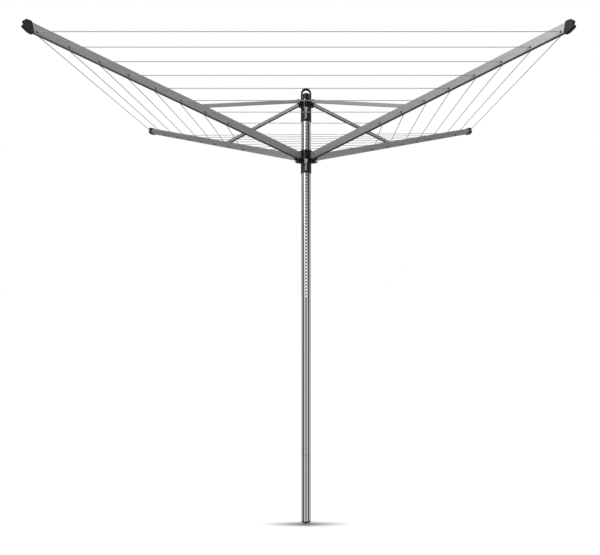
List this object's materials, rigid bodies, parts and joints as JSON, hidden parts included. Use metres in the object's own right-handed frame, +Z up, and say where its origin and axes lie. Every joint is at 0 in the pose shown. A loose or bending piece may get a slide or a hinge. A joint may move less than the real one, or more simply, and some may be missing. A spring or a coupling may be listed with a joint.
{
  "type": "rotary clothesline",
  "caption": "Folding rotary clothesline: a drilled aluminium pole that turns on its foot, two release sliders, sloping arms held by struts, and line strung round them in squares.",
  "frame": {"origin": "centre of the foot's underside, at the bottom of the pole", "axes": "+Z up along the pole, -Y towards the front where the rack and the release levers face, +X to the right; the arms point along the diagonals"},
  "size_m": [2.0966, 2.0966, 2.2275],
  "materials": {
    "pole_metal": "bright anodised tube with dark lengthwise grooves",
    "arm_metal": "satin grey extrusion",
    "strut_metal": "satin light grey extrusion",
    "pin_metal": "satin zinc-plated pins and rivets",
    "steel": "satin zinc-plated steel",
    "black_plastic": "satin black moulding",
    "cap_plastic": "fine-grained black moulding",
    "foot_plastic": "matt black moulding",
    "lever_plastic": "light grey moulding",
    "line_plastic": "pale grey smooth sheath over a fibre core"
  },
  "bodies": {
    "foot": {"foot_plug": "foot_plastic", "foot_washer": "steel", "foot_screw": "steel"},
    "pole": {"pole_tube": "pole_metal", "foot_bush": "foot_plastic", "top_cap": "black_plastic", "hanging_loop": "black_plastic"},
    "upper_slider": {"upper_hub": "black_plastic", "upper_hinge_pins": "pin_metal", "upper_lever_pin": "pin_metal", "upper_spring": "steel"},
    "upper_release": {"upper_lever": "lever_plastic", "upper_pawl": "steel"},
    "strut_1": {"strut_1": "strut_metal"},
    "arm_1": {"arm_1": "arm_metal", "arm_cap_1": "cap_plastic", "arm_rivet_1": "pin_metal", "arm_washers_1": "black_plastic", "arm_eyelets_1": "black_plastic", "line_1": "line_plastic"},
    "strut_2": {"strut_2": "strut_metal"},
    "arm_2": {"arm_2": "arm_metal", "arm_cap_2": "cap_plastic", "arm_rivet_2": "pin_metal", "arm_washers_2": "black_plastic", "arm_eyelets_2": "black_plastic", "line_2": "line_plastic"},
    "strut_3": {"strut_3": "strut_metal"},
    "arm_3": {"arm_3": "arm_metal", "arm_cap_3": "cap_plastic", "arm_rivet_3": "pin_metal", "arm_washers_3": "black_plastic", "arm_eyelets_3": "black_plastic", "line_3": "line_plastic"},
    "strut_4": {"strut_4": "strut_metal"},
    "arm_4": {"arm_4": "arm_metal", "arm_cap_4": "cap_plastic", "arm_rivet_4": "pin_metal", "arm_washers_4": "black_plastic", "arm_eyelets_4": "black_plastic", "line_4": "line_plastic"},
    "lower_slider": {"lower_hub": "black_plastic", "lower_hinge_pins": "pin_metal", "lower_lever_pin": "pin_metal", "lower_spring": "steel"},
    "lower_release": {"lower_lever": "lever_plastic", "lower_pawl": "steel"}
  },
  "joints": [
    {"name": "pole_spin", "type": "hinge", "parent": "foot", "child": "pole", "pos_m": [0, 0, 0.03], "axis": [0, 0, 1], "continuous": true},
    {"name": "height", "type": "slide", "parent": "pole", "child": "upper_slider", "axis": [0, 0, 1], "range_m": [-0.5775, 0]},
    {"name": "fold", "type": "hinge", "parent": "upper_slider", "child": "strut_1", "pos_m": [0.04031, 0.04031, 2.153], "axis": [-0.7071, 0.7071, 0], "range_deg": [0, 74], "deforming": ["line_1", "line_2", "line_3", "line_4"]},
    {"name": "arm_1_fold", "type": "hinge", "parent": "strut_1", "child": "arm_1", "pos_m": [0.4879, 0.4879, 2.02], "axis": [-0.7071, 0.7071, 0], "range_deg": [-148, 0]},
    {"name": "strut_2_fold", "type": "hinge", "parent": "upper_slider", "child": "strut_2", "pos_m": [-0.04031, 0.04031, 2.153], "axis": [-0.7071, -0.7071, 0], "range_deg": [0, 74]},
    {"name": "arm_2_fold", "type": "hinge", "parent": "strut_2", "child": "arm_2", "pos_m": [-0.4879, 0.4879, 2.02], "axis": [-0.7071, -0.7071, 0], "range_deg": [-148, 0]},
    {"name": "strut_3_fold", "type": "hinge", "parent": "upper_slider", "child": "strut_3", "pos_m": [-0.04031, -0.04031, 2.153], "axis": [0.7071, -0.7071, 0], "range_deg": [0, 74]},
    {"name": "arm_3_fold", "type": "hinge", "parent": "strut_3", "child": "arm_3", "pos_m": [-0.4879, -0.4879, 2.02], "axis": [0.7071, -0.7071, 0], "range_deg": [-148, 0]},
    {"name": "strut_4_fold", "type": "hinge", "parent": "upper_slider", "child": "strut_4", "pos_m": [0.04031, -0.04031, 2.153], "axis": [0.7071, 0.7071, 0], "range_deg": [0, 74]},
    {"name": "arm_4_fold", "type": "hinge", "parent": "strut_4", "child": "arm_4", "pos_m": [0.4879, -0.4879, 2.02], "axis": [0.7071, 0.7071, 0], "range_deg": [-148, 0]},
    {"name": "lower_slider_fold", "type": "hinge", "parent": "arm_1", "child": "lower_slider", "pos_m": [0.04031, 0.04031, 1.887], "axis": [-0.7071, 0.7071, 0], "range_deg": [0, 74]},
    {"name": "upper_lever", "type": "hinge", "parent": "upper_slider", "child": "upper_release", "pos_m": [0, -0.031, 2.104], "axis": [1, 0, 0], "range_deg": [0, 9], "stiffness_Nm_per_rad": 0.8, "springref_deg": -6.88, "deforming": ["upper_spring"]},
    {"name": "lower_lever", "type": "hinge", "parent": "lower_slider", "child": "lower_release", "pos_m": [0, -0.031, 1.84], "axis": [1, 0, 0], "range_deg": [0, 9], "stiffness_Nm_per_rad": 0.8, "springref_deg": -6.88, "deforming": ["lower_spring"]}
  ],
  "couplings": [
    {"joint": "arm_1_fold", "follows": "fold", "ratio": -2},
    {"joint": "strut_2_fold", "follows": "fold", "ratio": 1},
    {"joint": "arm_2_fold", "follows": "fold", "ratio": -2},
    {"joint": "strut_3_fold", "follows": "fold", "ratio": 1},
    {"joint": "arm_3_fold", "follows": "fold", "ratio": -2},
    {"joint": "strut_4_fold", "follows": "fold", "ratio": 1},
    {"joint": "arm_4_fold", "follows": "fold", "ratio": -2},
    {"joint": "lower_slider_fold", "follows": "fold", "ratio": 1}
  ]
}
